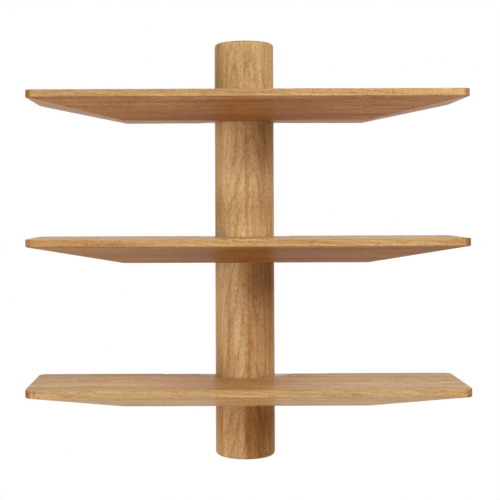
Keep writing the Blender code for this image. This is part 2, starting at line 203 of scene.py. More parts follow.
# The post's own wood. From here to the oak's figure, sizes are in millimetres. A tone is a place or an
# amount, how pale the surface is painted there, and how red where a third number is below 1. On the post
# these tones are partly the wood's own and partly painted shade, darker beneath each board
POST_STAVE = 41.5
POST_SEAM = -2.0
POST_SEED = 9.0
POST_BANDS = ("C09461", "D1AC79", "DBBA8B")
POST_PITH = {"stray": 18.0, "depth": -40.0, "lean": 0.12, "wander": 24.0, "ring": 9.0}
POST_LEFT_TONES_AND_SHADE = [
    (-400, 1.07, 0.94), (-322, 0.97, 0.91), (-260, 1.10, 0.98), (-173, 1.15, 0.98), (-119, 1.15, 1.0),
    (-60, 1.09, 0.99), (30, 1.22, 1.0), (79, 1.05, 0.98), (130, 1.24, 0.99), (190, 1.08, 0.98),
    (260, 1.0, 0.99), (400, 1.01, 0.98),
]
# Tones for the post's right half: partly the wood's own and partly painted shade beneath each board
POST_RIGHT_TONES_AND_SHADE = [
    (-400, 0.95, 0.90), (-322, 0.82, 0.90), (-290, 0.84, 0.91), (-220, 1.07, 0.93), (-173, 1.04, 0.90),
    (-119, 1.16, 0.89), (-66, 0.93, 0.88), (-10, 0.93, 0.91), (32, 1.09, 1.01), (90, 1.11, 0.99),
    (133, 1.22, 0.98), (186, 1.20, 0.92), (260, 1.10, 1.0), (400, 1.12, 1.03),
]
POST_DASH_TONES = [(0.33, 0.80), (0.5, 1.0), (0.67, 1.09)]
POST_END_GRAIN_TONES = [(0.35, 1.0), (0.9, 0.72)]
# Painted shade: the post's right rim, 28 to 50 mm off its middle and above its foot, is multiplied darker
# and redder
POST_RIM = (28.0, 50.0)
POST_ABOVE_FOOT = (-270.0, -200.0)
POST_RIM_PAINTED_SHADE = (0.91, 0.84, 0.74, 1.0)

# The oak's figure: how long its patches are across the staves, out of them and along them
SLOW_WANDER = (40.0, 40.0, 150.0)
RING_WAVER = (9.0, 9.0, 45.0)
LONG_BANDS = (15.0, 15.0, 330.0)
STREAKS = (3.6, 3.6, 95.0)
WEAVE = (8.0, 8.0, 18.0)
POST_DASHES = (2.0, 2.0, 6.0)
BOARD_DASHES = (2.0, 2.0, 13.0)
PORES = (1.3, 1.3, 8.0)
FLECK_CROWDS = (30.0, 30.0, 90.0)
FLECKS = (2.2, 2.2, 6.0)

# How far rings, dashes, staves and the edge of the post's right half move with them, and how flecks crowd
RING_WAVER_REACH = 7.0
WEAVE_REACH = 10.0
CROWDING = 0.7
CROWD_MIDDLE = 0.56
STAVE_SLIDE = 400.0
PITH_START_SPREAD = 500.0
OAK_LENGTH = 800.0
RIGHT_HALF_SWAY = 60.0
RIGHT_HALF_WAVER = 16.0
RIGHT_HALF_EDGE = (32.0, 43.0)

# The tones that each of them gives, as for the post, then the oil's low gloss, and the relief
# that the dashes and pores share
BAND_LEVELS = (0.28, 0.5, 0.74)
STAVE_TONES = [(0.0, 0.9), (1.0, 1.05)]
STREAK_TONES = [(0.30, 0.92), (0.52, 1.0), (0.72, 1.04)]
RING_TONES = [(0.0, 0.82), (0.18, 0.91), (0.45, 1.0), (0.8, 1.04), (1.0, 0.98)]
PORE_TONES = [(0.30, 0.80), (0.41, 1.0), (0.9, 1.01)]
OAK_SPECULAR = 0.035
OAK_ROUGHNESS = (0.33, 0.45)
OAK_RELIEF = 0.25
OAK_RELIEF_DEPTH = 0.0003
DASH_RELIEF_SHARE = 0.4
PORE_RELIEF_SHARE = 0.6

# How much faster green and blue change than red, as powers, in darker and in paler wood, and
# how much more blue than green a redder tone loses
DARKENING = (1.42, 2.0)
PALING = (1.3, 1.75)
REDDENING = 1.6


def arc(centre, radii, first, last, steps):
    """Points on an ellipse's arc, from one angle to another in degrees."""
    points = []
    for step in range(steps + 1):
        angle = math.radians(first + (last - first) * step / steps)
        points.append((centre[0] + radii[0] * math.cos(angle), centre[1] + radii[1] * math.sin(angle)))
    return points


def prism(outline, low, high):
    """A flat outline in X and Y, given counterclockwise, raised from one level to another."""
    solid = bmesh.new()
    rim = [solid.verts.new((across, along, low)) for across, along in outline]
    base = solid.faces.new(rim)
    raised = bmesh.ops.extrude_face_region(solid, geom=[base])["geom"]
    lifted = [item for item in raised if isinstance(item, bmesh.types.BMVert)]
    bmesh.ops.translate(solid, verts=lifted, vec=(0.0, 0.0, high - low))
    bmesh.ops.recalc_face_normals(solid, faces=solid.faces)
    return solid


def finished(solid, name):
    """The bmesh as an object with smooth faces and sharp corners."""
    bmesh.ops.recalc_face_normals(solid, faces=solid.faces)
    mesh = bpy.data.meshes.new(name)
    solid.to_mesh(mesh)
    solid.free()
    mesh.shade_smooth()
    mesh.set_sharp_from_angle(angle=SMOOTH_ANGLE)
    return add_object(name, mesh)


def block(low, high):
    """A box between two corners, as a bmesh."""
    size = Vector(high) - Vector(low)
    placing = Matrix.Translation((Vector(high) + Vector(low)) / 2) @ Matrix.Diagonal((*size, 1.0))
    solid = bmesh.new()
    bmesh.ops.create_cube(solid, size=1.0, matrix=placing)
    return solid


def settle(piece):
    """Give a piece the plain mesh that its modifiers make, and take them off."""
    bpy.context.view_layer.update()
    evaluated = piece.evaluated_get(bpy.context.evaluated_depsgraph_get())
    mesh = bpy.data.meshes.new_from_object(evaluated)
    piece.modifiers.clear()
    worn = piece.data
    piece.data = mesh
    bpy.data.meshes.remove(worn)
    mesh.name = piece.name


def carve(piece, solids):
    """Cut the solids out of a piece, with its flat faces kept flat to the eye."""
    tool = bmesh.new()
    for solid in solids:
        part = bpy.data.meshes.new("part")
        solid.to_mesh(part)
        solid.free()
        tool.from_mesh(part)
        bpy.data.meshes.remove(part)
    cutter = finished(tool, "cutter")
    difference = piece.modifiers.new("carve", "BOOLEAN")
    difference.object = cutter
    difference.solver = "EXACT"
    settle(piece)
    bpy.data.objects.remove(cutter)
    # The cut's own edges are sharp before the normals are weighted, or the flat faces beside
    # them shade as if they were bent
    piece.data.shade_smooth()
    piece.data.set_sharp_from_angle(angle=SMOOTH_ANGLE)
    evened = piece.modifiers.new("even", "WEIGHTED_NORMAL")
    evened.keep_sharp = True
    settle(piece)


def shade(level, red=1.0):
    """A tone of the wood: the darker, the redder. red below 1 takes out green, and more blue."""
    green, blue = DARKENING if level < 1.0 else PALING
    return (level, level ** green * red, level ** blue * red ** REDDENING, 1.0)


def along_oak(tones):
    """Tones at places along the grain, as tones at shares of the oak's length."""
    return [(place / OAK_LENGTH + 0.5, *tone) for place, *tone in tones]


def oak(name, order, stave, seam, seed, bands, pith, drift, tone_and_painted_shade, underside_painted_light=None):
    """Oiled European oak, planed and sanded: long tone bands, growth rings that run out in
    flames, open pores that show as short dark dashes along the grain, and darker end grain.
    The dashes are drawn about twice as wide as real ones, which would not show.

    order names the axes across the staves, out of them and along the grain. Every stave is
    stave wide, and one joint lies at seam. bands are the darkest, middle and palest colours.
    pith says how far the staves' hearts stray sideways, where they lie in depth, how they lean, how far the
    rings wander and how wide they are. drift gives tones along the grain; on the post they are partly the
    wood's own and partly painted shade beneath each board. heart gives such tones for the post's right half,
    partly the wood's own and partly painted shade, or for a board a darker level beside the post, a painted
    shade and reflection of the post. under is the painted light and shade on a board's faces that look down,
    at its left and at its right."""
    on_post = order == "XYZ"
    material, tree, shader = new_material(name)
    place = add_node(tree, "ShaderNodeTexCoord").outputs["Object"]
    scaled = add_node(tree, "ShaderNodeVectorMath", {0: place, "Scale": 1000.0}, operation="SCALE")
    millimetres = add_node(tree, "ShaderNodeSeparateXYZ", {0: scaled}).outputs
    across, out, along = [millimetres[axis] for axis in order]
    normal = add_node(tree, "ShaderNodeNewGeometry").outputs["Normal"]
    facing = add_node(tree, "ShaderNodeSeparateXYZ", {0: normal}).outputs

    def figure(at, lengths, detail=2.0, roughness=0.5, shift=(0.0, 0.0, 0.0)):
        """Soft patches about as long as the lengths, at the three coordinates. shift moves them,
        so that no two figures lie alike."""
        joined = add_node(tree, "ShaderNodeCombineXYZ", dict(enumerate(at)))
        placed = add_node(tree, "ShaderNodeMapping", {
            "Vector": joined,
            "Location": tuple(seed + value for value in shift),
            "Scale": tuple(1.0 / length for length in lengths),
        })
        return add_node(tree, "ShaderNodeTexNoise", {
            "Vector": placed,
            "Scale": 1.0,
            "Detail": detail,
            "Roughness": roughness,
        })

    # Which stave a point is in, and the three random numbers that each stave has
    from_seam = add_node(tree, "ShaderNodeMath", {0: across, 1: seam}, operation="SUBTRACT")
    staves = add_node(tree, "ShaderNodeMath", {0: from_seam, 1: stave}, operation="DIVIDE")
    number = add_node(tree, "ShaderNodeMath", {0: staves}, operation="FLOOR")
    throw = add_node(tree, "ShaderNodeMath", {0: number, 1: seed}, operation="ADD")
    dice = add_node(tree, "ShaderNodeTexWhiteNoise", {"W": throw}, noise_dimensions="1D").outputs["Color"]
    chance = add_node(tree, "ShaderNodeSeparateColor", {0: dice}).outputs

    # How far a point is from its stave's pith, sideways and in depth. The pith strays by
    # chance, and leans against the grain from a start by chance
    in_stave = add_node(tree, "ShaderNodeMath", {
        0: number,
        1: -stave,
        2: from_seam,
    }, operation="MULTIPLY_ADD")
    strayed = add_node(tree, "ShaderNodeMath", {
        0: chance[0],
        1: pith["stray"],
        2: in_stave,
    }, operation="MULTIPLY_ADD")
    side = add_node(tree, "ShaderNodeMath", {
        0: strayed,
        1: (stave + pith["stray"]) / 2,
    }, operation="SUBTRACT")
    leaned = add_node(tree, "ShaderNodeMath", {0: along, 1: pith["lean"], 2: out}, operation="MULTIPLY_ADD")
    begun = add_node(tree, "ShaderNodeMath", {
        0: chance[1],
        1: PITH_START_SPREAD * pith["lean"],
        2: leaned,
    }, operation="MULTIPLY_ADD")
    depth = add_node(tree, "ShaderNodeMath", {
        0: begun,
        1: pith["depth"] + PITH_START_SPREAD * pith["lean"] / 2,
    }, operation="SUBTRACT")

    # Growth rings round the pith, which wander slowly and waver
    plain = (across, out, along)
    slow = figure(plain, SLOW_WANDER, 1.0)
    waver = figure(plain, RING_WAVER, shift=(3.1, 1.7, 5.3))
    section = add_node(tree, "ShaderNodeCombineXYZ", {0: side, 1: depth})
    radius = add_node(tree, "ShaderNodeVectorMath", {0: section}, operation="LENGTH").outputs["Value"]
    wandered = add_node(tree, "ShaderNodeMath", {
        0: slow,
        1: pith["wander"],
        2: radius,
    }, operation="MULTIPLY_ADD")
    wavered = add_node(tree, "ShaderNodeMath", {
        0: waver,
        1: RING_WAVER_REACH,
        2: wandered,
    }, operation="MULTIPLY_ADD")
    evened = add_node(tree, "ShaderNodeMath", {
        0: wavered,
        1: (pith["wander"] + RING_WAVER_REACH) / 2,
    }, operation="SUBTRACT")
    rings = add_node(tree, "ShaderNodeMath", {0: evened, 1: pith["ring"]}, operation="DIVIDE")
    ring = add_node(tree, "ShaderNodeMath", {0: rings}, operation="FRACT")

    # Long bands and streaks that slide from stave to stave, and dashes and pores that weave
    slid = add_node(tree, "ShaderNodeMath", {
        0: chance[2],
        1: STAVE_SLIDE,
        2: along,
    }, operation="MULTIPLY_ADD")
    band = figure((across, out, slid), LONG_BANDS)
    streak = figure((across, out, slid), STREAKS, 3.0, 0.6, shift=(7.0, 2.0, 1.0))
    swung = add_node(tree, "ShaderNodeMath", {
        0: figure(plain, WEAVE, 1.0, shift=(5.0, 5.0, 8.0)),
        1: WEAVE_REACH,
        2: across,
    }, operation="MULTIPLY_ADD")
    weaving = add_node(tree, "ShaderNodeMath", {0: swung, 1: WEAVE_REACH / 2}, operation="SUBTRACT")
    woven = (weaving, out, along)
    dash = figure(woven, POST_DASHES if on_post else BOARD_DASHES, 2.0, 0.6, shift=(2.0, 6.0, 3.0))
    pore = figure(woven, PORES, 1.0, shift=(1.0, 9.0, 4.0))

    lengthwise = add_node(tree, "ShaderNodeMath", {
        0: along,
        1: 1 / OAK_LENGTH,
        2: 0.5,
    }, operation="MULTIPLY_ADD")
    layers = [
        (chance[2], STAVE_TONES), (streak, STREAK_TONES), (ring, RING_TONES),
        (dash, POST_DASH_TONES if on_post else BOARD_DASH_TONES), (pore, PORE_TONES),
    ]
    if not on_post:
        # Dark flecks that crowd in places
        crowded = add_node(tree, "ShaderNodeMath", {
            0: figure(plain, FLECK_CROWDS, 1.0, shift=(6.0, 1.0, 7.0)),
            1: CROWDING,
            2: figure(woven, FLECKS, 1.0, shift=(4.0, 4.0, 2.0)),
        }, operation="MULTIPLY_ADD")
        fleck = add_node(tree, "ShaderNodeMath", {
            0: crowded,
            1: CROWDING * CROWD_MIDDLE,
        }, operation="SUBTRACT")
        layers.append((fleck, FLECK_TONES))
    layers.append((lengthwise, along_oak(drift)))

    def stained(colour, value, tones):
        """The colour times the tone that a value picks."""
        stops = [(position, shade(*tone)) for position, *tone in tones]
        picked = add_node(tree, "ShaderNodeValToRGB", {0: value}, stops=stops)
        return add_node(tree, "ShaderNodeMix", {
            0: 1.0,
            6: colour,
            7: picked,
        }, data_type="RGBA", blend_type="MULTIPLY").outputs[2]

    stops = [(level, linear(code)) for level, code in zip(BAND_LEVELS, bands)]
    colour = add_node(tree, "ShaderNodeValToRGB", {0: band}, stops=stops)
    for value, tones in layers:
        colour = stained(colour, value, tones)

    # The post's right half, behind a wavering edge, takes its own tones, partly the wood's own and partly
    # painted shade; a board's middle, behind its front edge, is painted darker beside the post, a painted
    # shade and reflection of the post. The bottom board has it on its top alone
    if on_post:
        swayed = add_node(tree, "ShaderNodeMath", {
            0: slow,
            1: RIGHT_HALF_SWAY,
            2: across,
        }, operation="MULTIPLY_ADD")
        swayed = add_node(tree, "ShaderNodeMath", {
            0: waver,
            1: RIGHT_HALF_WAVER,
            2: swayed,
        }, operation="MULTIPLY_ADD")
        on_right = add_node(tree, "ShaderNodeMapRange", {
            "Value": swayed,
            "From Min": RIGHT_HALF_EDGE[0],
            "From Max": RIGHT_HALF_EDGE[1],
        }, interpolation_type="SMOOTHSTEP")
        colour = add_node(tree, "ShaderNodeMix", {
            0: on_right,
            6: colour,
            7: stained(colour, lengthwise, along_oak(tone_and_painted_shade)),
        }, data_type="RGBA").outputs[2]
    else:
        near = add_node(tree, "ShaderNodeMapRange", {
            "Value": add_node(tree, "ShaderNodeMath", {0: along}, operation="ABSOLUTE"),
            "From Min": BOARD_POST_SHADE_REACH[0],
            "From Max": BOARD_POST_SHADE_REACH[1],
        }, interpolation_type="SMOOTHSTEP")
        behind = add_node(tree, "ShaderNodeMapRange", {
            "Value": across,
            "From Min": BOARD_BEHIND_EDGE[0],
            "From Max": BOARD_BEHIND_EDGE[1],
        })
        patch = add_node(tree, "ShaderNodeMath", {0: near, 1: behind}, operation="MULTIPLY")
        if name.endswith("bottom_shelf"):
            on_top = add_node(tree, "ShaderNodeMath", {0: facing["Z"], 1: 0.0}, operation="GREATER_THAN")
            patch = add_node(tree, "ShaderNodeMath", {0: patch, 1: on_top}, operation="MULTIPLY")
        colour = stained(colour, patch, [(0.0, 1.0), (1.0, tone_and_painted_shade)])

    end_on = add_node(tree, "ShaderNodeMath", {0: facing[order[2]]}, operation="ABSOLUTE")
    colour = stained(colour, end_on, POST_END_GRAIN_TONES if on_post else BOARD_END_GRAIN_TONES)

    # Tints of painted light and shade: the post's right rim above its foot is painted darker and redder; a
    # board's faces that look down are painted paler on the bottom board and darker and redder on the others,
    # and once more those that look straight down are painted darker
    if on_post:
        rim = add_node(tree, "ShaderNodeMapRange", {
            "Value": across,
            "From Min": POST_RIM[0],
            "From Max": POST_RIM[1],
        })
        above = add_node(tree, "ShaderNodeMapRange", {
            "Value": along,
            "From Min": POST_ABOVE_FOOT[0],
            "From Max": POST_ABOVE_FOOT[1],
        })
        tinted = add_node(tree, "ShaderNodeMath", {0: rim, 1: above}, operation="MULTIPLY")
        tints = [(tinted, POST_RIM_PAINTED_SHADE)]
    else:
        # Painted light and shade on the faces that look down: paler on the bottom board, darker and redder
        # on the others
        stops = [(place, (*tint, 1.0)) for place, tint in zip(UNDERSIDE_TURN_SHARES, underside_painted_light)]
        painted_underside = add_node(tree, "ShaderNodeValToRGB", {0: lengthwise}, stops=stops)
        tints = []
        for looking, tint in ((LOOKING_DOWN, painted_underside), (LOOKING_STRAIGHT_DOWN, BOARD_FLAT_PAINTED_SHADE)):
            tints.append((add_node(tree, "ShaderNodeMapRange", {
                "Value": facing["Z"],
                "From Min": looking[0],
                "From Max": looking[1],
            }), tint))
    for amount, tint in tints:
        colour = add_node(tree, "ShaderNodeMix", {
            0: amount,
            6: colour,
            7: tint,
        }, data_type="RGBA", blend_type="MULTIPLY").outputs[2]
    tree.links.new(colour, shader.inputs["Base Color"])

    shader.inputs["Specular IOR Level"].default_value = OAK_SPECULAR
    rough = add_node(tree, "ShaderNodeMapRange", {
        "Value": streak,
        "To Min": OAK_ROUGHNESS[0],
        "To Max": OAK_ROUGHNESS[1],
    })
    tree.links.new(rough.outputs["Result"], shader.inputs["Roughness"])
    broad = add_node(tree, "ShaderNodeMath", {0: dash, 1: DASH_RELIEF_SHARE}, operation="MULTIPLY")
    relief = add_node(tree, "ShaderNodeMath", {
        0: pore,
        1: PORE_RELIEF_SHARE,
        2: broad,
    }, operation="MULTIPLY_ADD")
    bump = add_node(tree, "ShaderNodeBump", {
        "Height": relief,
        "Strength": OAK_RELIEF,
        "Distance": OAK_RELIEF_DEPTH,
    })
    tree.links.new(bump.outputs["Normal"], shader.inputs["Normal"])
    return material


post_low, post_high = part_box("post")
post_radius = (post_high.x - post_low.x) / 2
post_outline = arc((0.0, 0.0), (post_radius, post_radius), 180, 360, POST_STEPS)
post_solid = prism(post_outline, post_low.z, post_high.z)
rims = [
    edge for edge in post_solid.edges
    if abs(edge.verts[0].co.z - edge.verts[1].co.z) < FIT_GAP and min(v.co.y for v in edge.verts) < -FIT_GAP
]
bmesh.ops.bevel(
    post_solid, geom=rims, offset=POST_END_ROUNDING, segments=ROUNDING_STEPS, profile=0.5, affect="EDGES",
)
post = finished(post_solid, "oak_post")
recesses = []
for board_name in ("top", "middle", "bottom"):
    low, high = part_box(board_name + "_joining_plate")
    recesses.append(block(
        (low.x - FIT_GAP, low.y - FIT_GAP, low.z - FIT_GAP),
        (high.x + FIT_GAP, CUT_OVERRUN, high.z + FIT_GAP),
    ))
for end_name in ("upper", "lower"):
    low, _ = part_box(end_name + "_wall_cleat")
    _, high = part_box(end_name + "_post_cleat")
    recesses.append(block(
        (low.x - CLEAT_SIDE_ROOM, low.y - CLEAT_FRONT_ROOM, low.z - CLEAT_LIFT_ROOM),
        (high.x + CLEAT_SIDE_ROOM, CUT_OVERRUN, high.z + FIT_GAP),
    ))
carve(post, recesses)
post.data.materials.append(oak(
    "oiled_oak_post", "XYZ", POST_STAVE, POST_SEAM, POST_SEED, POST_BANDS, POST_PITH,
    POST_LEFT_TONES_AND_SHADE, POST_RIGHT_TONES_AND_SHADE,
))
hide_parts("post")
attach(post, "root")


# Each board is glued up from oak staves that run its whole length, planed flat on top and
# planed away underneath towards the front and both ends, so that it is thick at the wall and
# thin at its edge. Its corners are rounded, its arrises eased, and a notch takes the post.
EDGE_THICKNESS = 0.013
FLAT_LENGTH = 0.460
FLAT_DEPTH = 0.086
FRONT_CORNER_RADIUS = 0.018
WALL_CORNER_RADIUS = 0.012
ARRIS = 0.0045
CREASE = 0.004
CREASE_ANGLES = (math.radians(8), math.radians(25))
SHORTEST_CREASE = 0.03
SHARP_EDGE = math.radians(40)
NOTCH_SIDE_GAP = 0.0315
CORNER_STEPS = 12
NOTCH_STEPS = 72
ARRIS_STEPS = 4
CREASE_STEPS = 3

# The boards' wood, in millimetres as the post's is. A board has a seed, its bands, its tones along the
# grain, its painted shade beside the post, where the post shades it and is reflected in it, and the painted
# light and shade of its underside, left and right. The tints come in over a range of how far down a face
# looks, which is its normal's Z, and the left one gives way to the right one between two shares of the
# length
BOARD_STAVE = 52.0
BOARD_SEAM = -13.0
BOARD_PITH = {"stray": 50.0, "lean": 0.06, "wander": 34.0, "ring": 6.4}
BOARD_PITH_BELOW_TOP = 40.0
BOARD_DASH_TONES = [(0.33, 0.87), (0.5, 1.0), (0.67, 1.06)]
BOARD_END_GRAIN_TONES = [(0.22, 1.0), (0.45, 0.72), (0.9, 0.60)]
FLECK_TONES = [(0.61, 1.0), (0.70, 0.72)]
# Where the painted shade beside the post lies: full within 30 mm of the post's middle, gone at 240 mm, and
# from just behind the front edge back
BOARD_POST_SHADE_REACH = (240.0, 30.0)
BOARD_BEHIND_EDGE = (-192.0, -180.0)
LOOKING_DOWN = (-0.4, -0.85)
LOOKING_STRAIGHT_DOWN = (-0.962, -0.978)
UNDERSIDE_TURN_SHARES = (0.3, 0.7)
# Painted shade: the flat faces that look straight down are multiplied darker once more
BOARD_FLAT_PAINTED_SHADE = (0.95, 0.89, 0.70, 1.0)
BOARD_WOOD = {
    "top_shelf": (
        11.0, ("BD9160", "D2AA78", "E0BC8D"),
        [(-400, 0.93), (-200, 0.93), (0, 1.07), (200, 1.11), (400, 1.22)],
        0.77, ((1.04, 0.88, 0.82), (0.83, 0.65, 0.59)),
    ),
    "middle_shelf": (
        23.0, ("BC8E5C", "D2A872", "DFBA88"),
        [(-400, 1.03), (-200, 0.97), (0, 1.0), (200, 0.97), (330, 0.95), (400, 0.80)],
        0.80, ((0.89, 0.73, 0.62), (0.77, 0.58, 0.44)),
    ),
    "bottom_shelf": (
        37.0, ("C0915E", "D6AD78", "E3BF8F"),
        [(-400, 1.04), (-200, 0.98), (200, 1.0), (400, 1.03)],
        0.74, ((1.27, 1.33, 1.32), (1.22, 1.20, 1.14)),
    ),
}


def slice_off(solid, point, normal):
    """Cut away what lies beyond a plane, and close the cut."""
    everything = list(solid.verts) + list(solid.edges) + list(solid.faces)
    bmesh.ops.bisect_plane(solid, geom=everything, plane_co=point, plane_no=normal, clear_outer=True)
    bmesh.ops.holes_fill(solid, edges=[edge for edge in solid.edges if edge.is_boundary], sides=0)


def board(name, seed, bands, drift, tone_and_painted_shade, underside_painted_light):
    """One board in its node's box: outline and notch, slopes, eased edges, a plate's recess."""
    low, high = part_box(name)
    side = high.x
    front, back = FRONT_CORNER_RADIUS, WALL_CORNER_RADIUS
    notch = (post_radius + NOTCH_SIDE_GAP, post_radius + FIT_GAP)
    outline = arc((front - side, front + low.y), (front, front), 180, 270, CORNER_STEPS)
    outline += arc((side - front, front + low.y), (front, front), 270, 360, CORNER_STEPS)
    outline += arc((side - back, -back), (back, back), 0, 90, CORNER_STEPS)
    outline += arc((0.0, 0.0), notch, 0, -180, NOTCH_STEPS)
    outline += arc((back - side, -back), (back, back), 90, 180, CORNER_STEPS)
    solid = prism(outline, low.z, high.z)
    edge_level = high.z - EDGE_THICKNESS
    drop = edge_level - low.z
    slice_off(solid, (0.0, low.y, edge_level), (0.0, -drop, FLAT_DEPTH + low.y))
    for turn in (-1, 1):
        slice_off(solid, (turn * side, 0.0, edge_level), (turn * drop, 0.0, FLAT_LENGTH / 2 - side))

    def on_notch(edge):
        return all(abs(v.co.x) < notch[0] + FIT_GAP and v.co.y > -notch[1] - FIT_GAP for v in edge.verts)

    creases = [
        edge for edge in solid.edges
        if CREASE_ANGLES[0] < edge.calc_face_angle() < CREASE_ANGLES[1]
        and edge.calc_length() > SHORTEST_CREASE
    ]
    rounded = {"profile": 0.5, "affect": "EDGES", "clamp_overlap": True}
    bmesh.ops.bevel(solid, geom=creases, offset=CREASE, segments=CREASE_STEPS, **rounded)
    arrises = [
        edge for edge in solid.edges
        if edge.calc_face_angle() > SHARP_EDGE
        and min(v.co.y for v in edge.verts) < -FIT_GAP
        and not on_notch(edge)
    ]
    bmesh.ops.bevel(solid, geom=arrises, offset=ARRIS, segments=ARRIS_STEPS, **rounded)
    piece = finished(solid, "oak_" + name)
    plate_low, plate_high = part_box(name.split("_")[0] + "_joining_plate")
    carve(piece, [block(
        (plate_low.x - FIT_GAP, plate_low.y - FIT_GAP, low.z - CUT_OVERRUN),
        (plate_high.x + FIT_GAP, CUT_OVERRUN, high.z + CUT_OVERRUN),
    )])
    pith = {**BOARD_PITH, "depth": high.z * 1000 - BOARD_PITH_BELOW_TOP}
    piece.data.materials.append(oak(
        "oiled_oak_" + name, "YZX", BOARD_STAVE, BOARD_SEAM, seed, bands, pith, drift, tone_and_painted_shade, underside_painted_light,
    ))
    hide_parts(name)
    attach(piece, "root")


for board_name, wood in BOARD_WOOD.items():
    board(board_name, *wood)


# A joining plate lies across the back of each board and of the post, let in flush. It is
# laser-cut steel, its edges broken and its holes countersunk before it was powder coated in
# beige. Screws hold its wings to the board and its middle to the post.
PLATE_CORNER_RADIUS = 0.005
PLATE_ARRIS = 0.0004
PLATE_CORNER_STEPS = 10
SCREW_RADIUS = 0.002
SCREW_HEAD = (0.004, 0.0022)
BOLT_RADIUS = 0.003
BOLT_HEAD = (0.006, 0.0033)
HOLE_STEPS = 32
POWDER_TONES = ("F2EADF", "F9F3EA")
POWDER_CLOUD = 0.02
POWDER_PEEL = 0.0011
POWDER_RELIEF = 0.35
POWDER_RELIEF_DEPTH = 0.0002
POWDER_ROUGHNESS = (0.44, 0.6)


def bored(place, steps, towards=-1):
    """A round hole from a place on a face, as a bmesh. steps gives its radius at each depth."""
    solid = bmesh.new()
    rings = []
    for depth, radius in steps:
        ring = []
        for step in range(HOLE_STEPS):
            angle = math.tau * step / HOLE_STEPS
            offset = (radius * math.cos(angle), towards * depth, radius * math.sin(angle))
            ring.append(solid.verts.new(Vector(place) + Vector(offset)))
        rings.append(ring)
    for near, far in zip(rings, rings[1:]):
        for step in range(HOLE_STEPS):
            after = (step + 1) % HOLE_STEPS
            solid.faces.new((near[step], near[after], far[after], far[step]))
    solid.faces.new(rings[0])
    solid.faces.new(rings[-1])
    bmesh.ops.recalc_face_normals(solid, faces=solid.faces)
    return solid


def countersink(radius, head, depth):
    """The steps of a countersunk hole, a fit's gap larger than its fastener."""
    mouth = head[0] + FIT_GAP
    return [(-CUT_OVERRUN, mouth), (0.0, mouth), (head[1], radius + FIT_GAP), (depth, radius + FIT_GAP)]


def driven_at(node):
    """Where the middle of a fastener's head is, on its wall side."""
    low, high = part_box(node)
    return ((low.x + high.x) / 2, high.y, (low.z + high.z) / 2)


def ease(solid, width):
    """Round every corner of a solid a little, as a broken or drawn edge is."""
    corners = [edge for edge in solid.edges if edge.calc_face_angle() > SHARP_EDGE]
    bmesh.ops.bevel(
        solid, geom=corners, offset=width, segments=2, profile=0.5, affect="EDGES", clamp_overlap=True,
    )


def powder_coat(name):
    """Powder-coated steel, matt beige: an even colour with a slight cloud, and the fine
    orange-peel skin that the powder leaves when it melts, about a millimetre from crest to crest."""
    material, tree, shader = new_material(name)
    place = add_node(tree, "ShaderNodeTexCoord").outputs["Object"]
    cloud = add_node(tree, "ShaderNodeTexNoise", {"Vector": place, "Scale": 1 / POWDER_CLOUD, "Detail": 3.0})
    tone = add_node(tree, "ShaderNodeMix", {
        0: cloud,
        6: linear(POWDER_TONES[0]),
        7: linear(POWDER_TONES[1]),
    }, data_type="RGBA")
    tree.links.new(tone.outputs[2], shader.inputs["Base Color"])
    peel = add_node(tree, "ShaderNodeTexNoise", {"Vector": place, "Scale": 1 / POWDER_PEEL, "Detail": 1.0})
    rough = add_node(tree, "ShaderNodeMapRange", {
        "Value": peel,
        "To Min": POWDER_ROUGHNESS[0],
        "To Max": POWDER_ROUGHNESS[1],
    })
    tree.links.new(rough.outputs["Result"], shader.inputs["Roughness"])
    skin = add_node(tree, "ShaderNodeBump", {
        "Height": peel,
        "Strength": POWDER_RELIEF,
        "Distance": POWDER_RELIEF_DEPTH,
    })
    tree.links.new(skin.outputs["Normal"], shader.inputs["Normal"])
    return material


plate_finish = powder_coat("beige_powder_coated_steel")
for board_name in ("top", "middle", "bottom"):
    low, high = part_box(board_name + "_joining_plate")
    middle = (low.z + high.z) / 2
    across, up = high.x - PLATE_CORNER_RADIUS, high.z - middle - PLATE_CORNER_RADIUS
    rounding = (PLATE_CORNER_RADIUS, PLATE_CORNER_RADIUS)
    outline = arc((across, up), rounding, 0, 90, PLATE_CORNER_STEPS)
    outline += arc((-across, up), rounding, 90, 180, PLATE_CORNER_STEPS)
    outline += arc((-across, -up), rounding, 180, 270, PLATE_CORNER_STEPS)
    outline += arc((across, -up), rounding, 270, 360, PLATE_CORNER_STEPS)
    sheet = prism(outline, 0.0, high.y - low.y)
    ease(sheet, PLATE_ARRIS)
    stand = Matrix.Translation((0.0, high.y, middle)) @ Matrix.Rotation(math.pi / 2, 4, "X")
    bmesh.ops.transform(sheet, matrix=stand, verts=sheet.verts)
    plate = finished(sheet, board_name + "_plate")
    through = high.y - low.y + CUT_OVERRUN
    screw_hole = countersink(SCREW_RADIUS, SCREW_HEAD, through)
    bolt_hole = countersink(BOLT_RADIUS, BOLT_HEAD, through)
    holes = [bored(driven_at(f"{board_name}_shelf_screw_{number}"), screw_hole) for number in (1, 2, 3, 4)]
    holes += [bored(driven_at(f"{board_name}_post_screw_{number}"), screw_hole) for number in (1, 2)]
    holes += [bored(driven_at(f"{board_name}_shelf_bolt_{number}"), bolt_hole) for number in (1, 2)]
    carve(plate, holes)
    plate.data.materials.append(plate_finish)
    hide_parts(board_name + "_joining_plate")
    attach(plate, "root")


